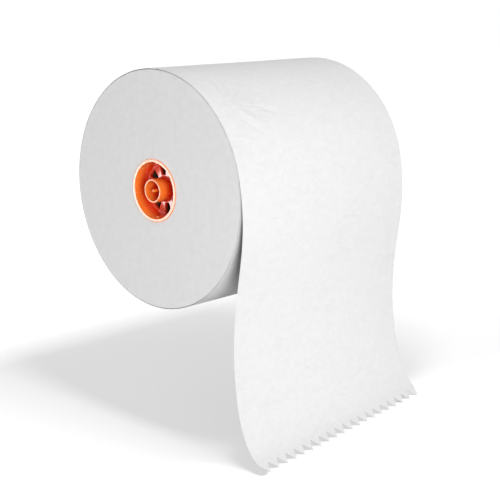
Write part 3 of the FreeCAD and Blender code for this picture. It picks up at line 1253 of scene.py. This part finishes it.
    def combine(self, body: Object, tool: Object, count: int, first: float, use: ToolUse) -> None:
        """Joins or cuts copies of a tool set evenly about the axis, and removes the tool.

        Args:
            body: The object that is changed.
            tool: The object that is joined to it or cut from it.
            count: How many copies.
            first: Angle of the first copy from the tool's own place.
            use: Whether the copies are joined or cut.
        """
        for k in range(count):
            turned = in_scene(f"{tool.name}_{k}", tool.data)
            turned.matrix_world = Matrix.Rotation(-math.radians(first + k * FULL_TURN / count), 4, "X")
            step = body.modifiers.new(turned.name, "BOOLEAN")
            step.operation, step.solver, step.object = use.value, "MANIFOLD", turned
        bpy.context.view_layer.update()
        graph = bpy.context.evaluated_depsgraph_get()
        finished = bpy.data.meshes.new_from_object(body.evaluated_get(graph))
        for used in [tool, *(step.object for step in body.modifiers)]:
            bpy.data.objects.remove(used)
        body.modifiers.clear()
        body.data = finished

    def build(self, material: Material) -> Object:
        """Makes the plug at its end of the roll.

        Args:
            material: The finish of the plastic.

        Returns:
            The object.
        """
        plug = self.turned_body()
        self.combine(plug, self.grip_rib(), self.rib_count, 0.0, ToolUse.JOIN)
        self.combine(plug, self.window_cutter(), self.window_count, self.window_turn, ToolUse.CUT)
        plug.name = plug.data.name = f"core_plug_{self.end.value}_moulding"
        plug.data.shade_smooth()
        plug.modifiers.new("even_shading", "WEIGHTED_NORMAL").keep_sharp = True
        if self.end is RollEnd.FAR:
            middle = Vector((self.size.width / 2.0, 0.0, 0.0))
            turn = Matrix.Translation(middle) @ Matrix.Rotation(math.pi, 4, "Z") @ Matrix.Translation(-middle)
            plug.data.transform(turn)
        return dress(plug, material, self.sharp_angle, "plug_plastic", f"core_plug_{self.end.value}")


# ---- Studio ----

class LampReach(Enum):
    """Which objects a lamp lights, out of all and the ones that it is given."""

    ONLY_THESE = "INCLUDE"
    ALL_BUT_THESE = "EXCLUDE"


def link_light(lamp: Object, receivers: Sequence[Object], reach: LampReach) -> None:
    """Keeps a lamp off some objects, or on them alone.

    Args:
        lamp: The lamp.
        receivers: The objects.
        reach: Whether it lights them alone or all but them.
    """
    linked = bpy.data.collections.new(f"{lamp.name}_linking")
    for receiver in receivers:
        linked.objects.link(receiver)
    lamp.light_linking.receiver_collection = linked
    for entry in linked.collection_objects:
        entry.light_linking.link_state = reach.value


def facing(tilt: float, turn: float) -> Triple:
    """The rotation of a lamp or a camera that faces the back, tilted down and then turned leftwards."""
    return math.radians(QUARTER_TURN - tilt), 0.0, math.radians(turn)


@dataclass(frozen=True)
class FlatLamp:
    """A flat lamp that doesn't show itself, with its width and height and its power in watts."""

    name: str
    place: Triple
    size: Pair
    power: float
    aim: Triple = (0.0, 0.0, 0.0)
    spread: float = 180.0

    def build(self) -> Object:
        """Makes the lamp.

        Returns:
            The lamp.
        """
        light = bpy.data.lights.new(self.name, "AREA")
        light.shape = "RECTANGLE"
        light.size, light.size_y = self.size
        light.energy = self.power
        light.spread = math.radians(self.spread)
        lamp = in_scene(self.name, light)
        lamp.location = self.place
        lamp.rotation_euler = (Vector(self.place) - Vector(self.aim)).to_track_quat("Z", "Y").to_euler()
        lamp.visible_camera = False
        return lamp


@dataclass(frozen=True)
class Studio:
    """A white room with a key light, a front softbox, a gloss card, and lamps for the floor and the plugs."""

    size: RollFrame
    # The room: walls up to an angle above the level, and a ceiling from another angle up.
    wall_strength: float = 0.453
    wall_top: float = 22.0
    ceiling_strength: float = 0.925
    ceiling_front: float = 0.35
    ceiling_edge: float = 42.0
    ceiling_blend: Pair = (-0.6, 0.6)
    # The lamps, with strengths for the plain level at which a colour shows as it is.
    key_strength: float = 0.441
    key_elevation: float = 24.0
    key_turn: float = -6.0
    key_softness: float = 12.0
    softbox: FlatLamp = FlatLamp(
        "front_softbox", (-0.5, -1.0, 0.08), (0.5, 0.5), 0.707, aim=(0.08, -0.09, 0.03), spread=50.0)
    plug_lamp: FlatLamp = FlatLamp("plug_lamp", (-0.35, -0.6, -0.1), (0.15, 0.15), 0.4)
    card_distance: float = 0.9
    card_size: Pair = (0.36, 0.11)
    card_power: float = 0.88
    floor_lamp_place: Triple = (0.0, -0.193, 0.426)
    floor_lamp_size: Pair = (0.2, 0.08)
    floor_lamp_power: float = 19.5
    # The floor, and how strongly it glows near the roll and farther out.
    floor_drop: float = 0.6 * MM
    floor_reach: float = 6.0
    floor_tone: float = 0.2
    floor_glow: float = 0.585
    clear_glow: float = 0.36
    clear_distance: Pair = (0.38, 0.95)
    # The line in front of the roll beyond which painted light clears the shade, with notches below the teeth.
    front_line: float = 120.9 * MM
    front_rise: float = 0.0934
    front_fade: float = 1.6 * MM
    notches: int = 19
    notch_cut: float = 9.0 * MM
    notch_start: float = -1.048
    notches_per_metre: float = 87.77
    notch_widening: float = -14.05
    notch_lean: float = 0.0871
    notch_lean_growth: float = 1.358
    # The small painted shade below the far corner of the teeth.
    painted_corner_shade: float = 0.3
    corner_slant: float = 0.817
    corner_from: Pair = (301.0 * MM, 315.0 * MM)
    corner_to: Pair = (333.0 * MM, 345.0 * MM)
    corner_back: Pair = (78.0 * MM, 104.0 * MM)
    # The camera.
    camera_place: Triple = (-0.6153474, -0.6996343, 0.1624149)
    camera_turn: float = -46.158
    camera_tilt: float = 12.88
    lens: float = 82.66
    sensor_width: float = 36.0

    def floor(self) -> Object:
        """The floor, which shows as plain white where nothing shades it, with painted light and shade by the
        teeth.

        Returns:
            The floor.
        """
        board = NodeBoard("studio_floor")
        material = board.finish({
            "Base Color": (self.floor_tone,) * 3 + (1.0,),
            "Roughness": 1.0,
            "Specular IOR Level": 0.0,
            "Emission Color": WHITE,
            "Emission Strength": board.maths("MULTIPLY", self.glow(board), board.seen_by_eye_or_gloss()),
        })
        reach, level = self.floor_reach, self.size.lowest - self.floor_drop
        corners = [(x * reach, y * reach, level) for x, y in ((-1, -1), (1, -1), (1, 1), (-1, 1))]
        floor = new_object("studio_floor", np.array(corners), [(0, 1, 2, 3)])
        floor.data.materials.append(material)
        return floor

    def glow(self, board: NodeBoard) -> Socket:
        """How strongly the floor glows: evenly near the roll, more far away, and as painted light beyond a
        front line.

        Args:
            board: The floor's nodes.

        Returns:
            The glow's socket.
        """
        foot = (*self.floor_lamp_place[:2], self.size.lowest)
        away = board.vector("DISTANCE", board.place, foot)["Value"]
        far = board.ramp(away, self.clear_distance, 0.0, self.clear_glow)
        x = board.add("ShaderNodeSeparateXYZ", {"Vector": board.place}).outputs["X"]
        forward = board.vector("DOT_PRODUCT", board.place, (self.front_rise, -1.0, 0.0))["Value"]
        notched = board.maths("ADD", forward, self.notch_depth(board, x, forward))
        line = (self.front_line, self.front_line + self.front_fade)
        # Painted light: beyond the front line the glow clears the floor's shade.
        front = board.ramp(notched, line, 0.0, self.clear_glow)
        glow = board.maths("ADD", self.floor_glow, board.maths("MAXIMUM", far, front))
        behind = board.ramp(notched, line, 1.0, 0.0)
        # Painted shade: glow taken away below the far corner of the teeth.
        corner = board.maths("MULTIPLY", self.corner(board, x, forward), behind)
        return board.maths("SUBTRACT", glow, corner)

    def notch_depth(self, board: NodeBoard, x: Socket, forward: Socket) -> Socket:
        """Notches the front line like the towel's edge, in a saw tooth that leans and widens: a painted
        shadow edge.

        Args:
            board: The floor's nodes.
            x: Distance along the roll.
            forward: Distance towards the front.

        Returns:
            A socket with the depth of the notches.
        """
        behind = board.maths("SUBTRACT", self.front_line, forward)
        lean = board.maths("ADD", board.maths("MULTIPLY", x, self.notch_lean_growth), self.notch_lean)
        across = board.maths("SUBTRACT", x, board.maths("MULTIPLY", behind, lean))
        change = board.maths("MULTIPLY", across, self.notch_widening)
        density = board.maths("ADD", change, self.notches_per_metre)
        number = board.maths("ADD", board.maths("MULTIPLY", density, across), self.notch_start)
        cut = board.maths("SUBTRACT", 1.0, board.maths("FRACT", number))
        begun = board.maths("GREATER_THAN", number, 0.0)
        unfinished = board.maths("LESS_THAN", number, float(self.notches))
        return board.maths("MULTIPLY", cut, self.notch_cut, begun, unfinished)

    def corner(self, board: NodeBoard, x: Socket, forward: Socket) -> Socket:
        """A small painted shade below the far corner of the toothed edge, where the floor lamp reaches under
        it.

        Args:
            board: The floor's nodes.
            x: Distance along the roll.
            forward: Distance towards the front.

        Returns:
            A socket with the glow that the shade takes away.
        """
        along = board.maths("ADD", x, board.maths("MULTIPLY", forward, self.corner_slant))
        begun = board.ramp(along, self.corner_from, 0.0, self.painted_corner_shade)
        unfinished = board.ramp(along, self.corner_to, 1.0, 0.0)
        return board.maths("MULTIPLY", begun, unfinished, board.ramp(forward, self.corner_back))

    def room(self) -> None:
        """The white surroundings: walls and a ceiling that is brighter at the back, shown as plain white."""
        world = bpy.data.worlds.new("white_room")
        bpy.context.scene.world = world
        board = NodeBoard(world)
        way = board.add("ShaderNodeTexCoord").outputs["Generated"]
        parts = board.add("ShaderNodeSeparateXYZ", {"Vector": way}).outputs
        front = self.ceiling_strength * self.ceiling_front
        ceiling = board.ramp(parts["Y"], self.ceiling_blend, front, self.ceiling_strength)
        heights = tuple(math.sin(math.radians(angle)) for angle in (self.wall_top, self.ceiling_edge))
        light = board.ramp(parts["Z"], heights, self.wall_strength, ceiling)
        inputs = {0: board.seen_by_eye_or_gloss(), 2: light, 3: 1.0}
        mix = board.add("ShaderNodeMix", inputs, data_type="FLOAT")
        board.finish({"Color": WHITE, "Strength": mix.outputs[0]}, "Background")

    def key(self, floor: Object) -> None:
        """Hangs the key light, which leaves out the floor.

        Args:
            floor: The floor.
        """
        light = bpy.data.lights.new("key_light", "SUN")
        light.energy = self.key_strength
        light.angle = math.radians(self.key_softness)
        lamp = in_scene("key_light", light)
        lamp.rotation_euler = facing(self.key_elevation, self.key_turn)
        link_light(lamp, [floor], LampReach.ALL_BUT_THESE)

    def floor_lamp(self, floor: Object) -> None:
        """Hangs a low lamp over the front of the roll that lights the floor alone, evenly at every distance.

        Args:
            floor: The floor.
        """
        place, aim = self.floor_lamp_place, (self.floor_lamp_place[0], 0.0, self.size.lowest)
        lamp = FlatLamp("floor_lamp", place, self.floor_lamp_size, self.floor_lamp_power, aim).build()
        link_light(lamp, [floor], LampReach.ONLY_THESE)
        board = NodeBoard(lamp.data)
        even = board.add("ShaderNodeLightFalloff", {"Strength": 1.0}).outputs["Constant"]
        board.finish({"Strength": even}, "Emission")

    def gloss_card(self) -> FlatLamp:
        """The card that the plug's flat faces mirror towards the camera, as a lamp."""
        mirrored = (Vector(self.camera_place) * Vector((1.0, -1.0, -1.0))).normalized()
        return FlatLamp("gloss_card", tuple(mirrored * self.card_distance), self.card_size, self.card_power)

    def camera(self) -> None:
        """Sets the camera above the near front corner of the roll."""
        view = bpy.data.cameras.new("studio_camera")
        view.lens, view.sensor_width = self.lens, self.sensor_width
        eye = in_scene("studio_camera", view)
        eye.location = self.camera_place
        eye.rotation_euler = facing(self.camera_tilt, self.camera_turn)
        bpy.context.scene.camera = eye

    def build(self, plugs: Sequence[Object]) -> None:
        """Sets up the whole studio.

        Args:
            plugs: The plugs, which a small lamp of their own shines into.
        """
        bpy.context.scene.view_settings.view_transform = "Standard"
        self.room()
        floor = self.floor()
        self.key(floor)
        self.floor_lamp(floor)
        self.gloss_card().build()
        self.softbox.build()
        link_light(self.plug_lamp.build(), plugs, LampReach.ONLY_THESE)
        self.camera()


# ---- The whole part ----


def main() -> None:
    """Builds the roll and its studio."""
    logging.basicConfig(level=logging.INFO, format="%(name)s: %(message)s")
    size = RollFrame.measured()
    paper = TowelPaper().material()
    pieces = [WoundPaper(size).build(WoundEdges().material())]
    towel = HangingTowel(size)
    sheet = towel.build(paper)
    pieces += [sheet, CoreTube(size).build(CoreBoard().material())]
    plastic = GlossyPlastic(size.width).material()
    plugs = [CorePlug(size, end).build(plastic) for end in RollEnd]
    pieces += plugs
    for piece in pieces:
        LOG.info("%s: %d faces", piece.name, len(piece.data.polygons))
    Studio(size).build(plugs)


if __name__ == "__main__":
    main()
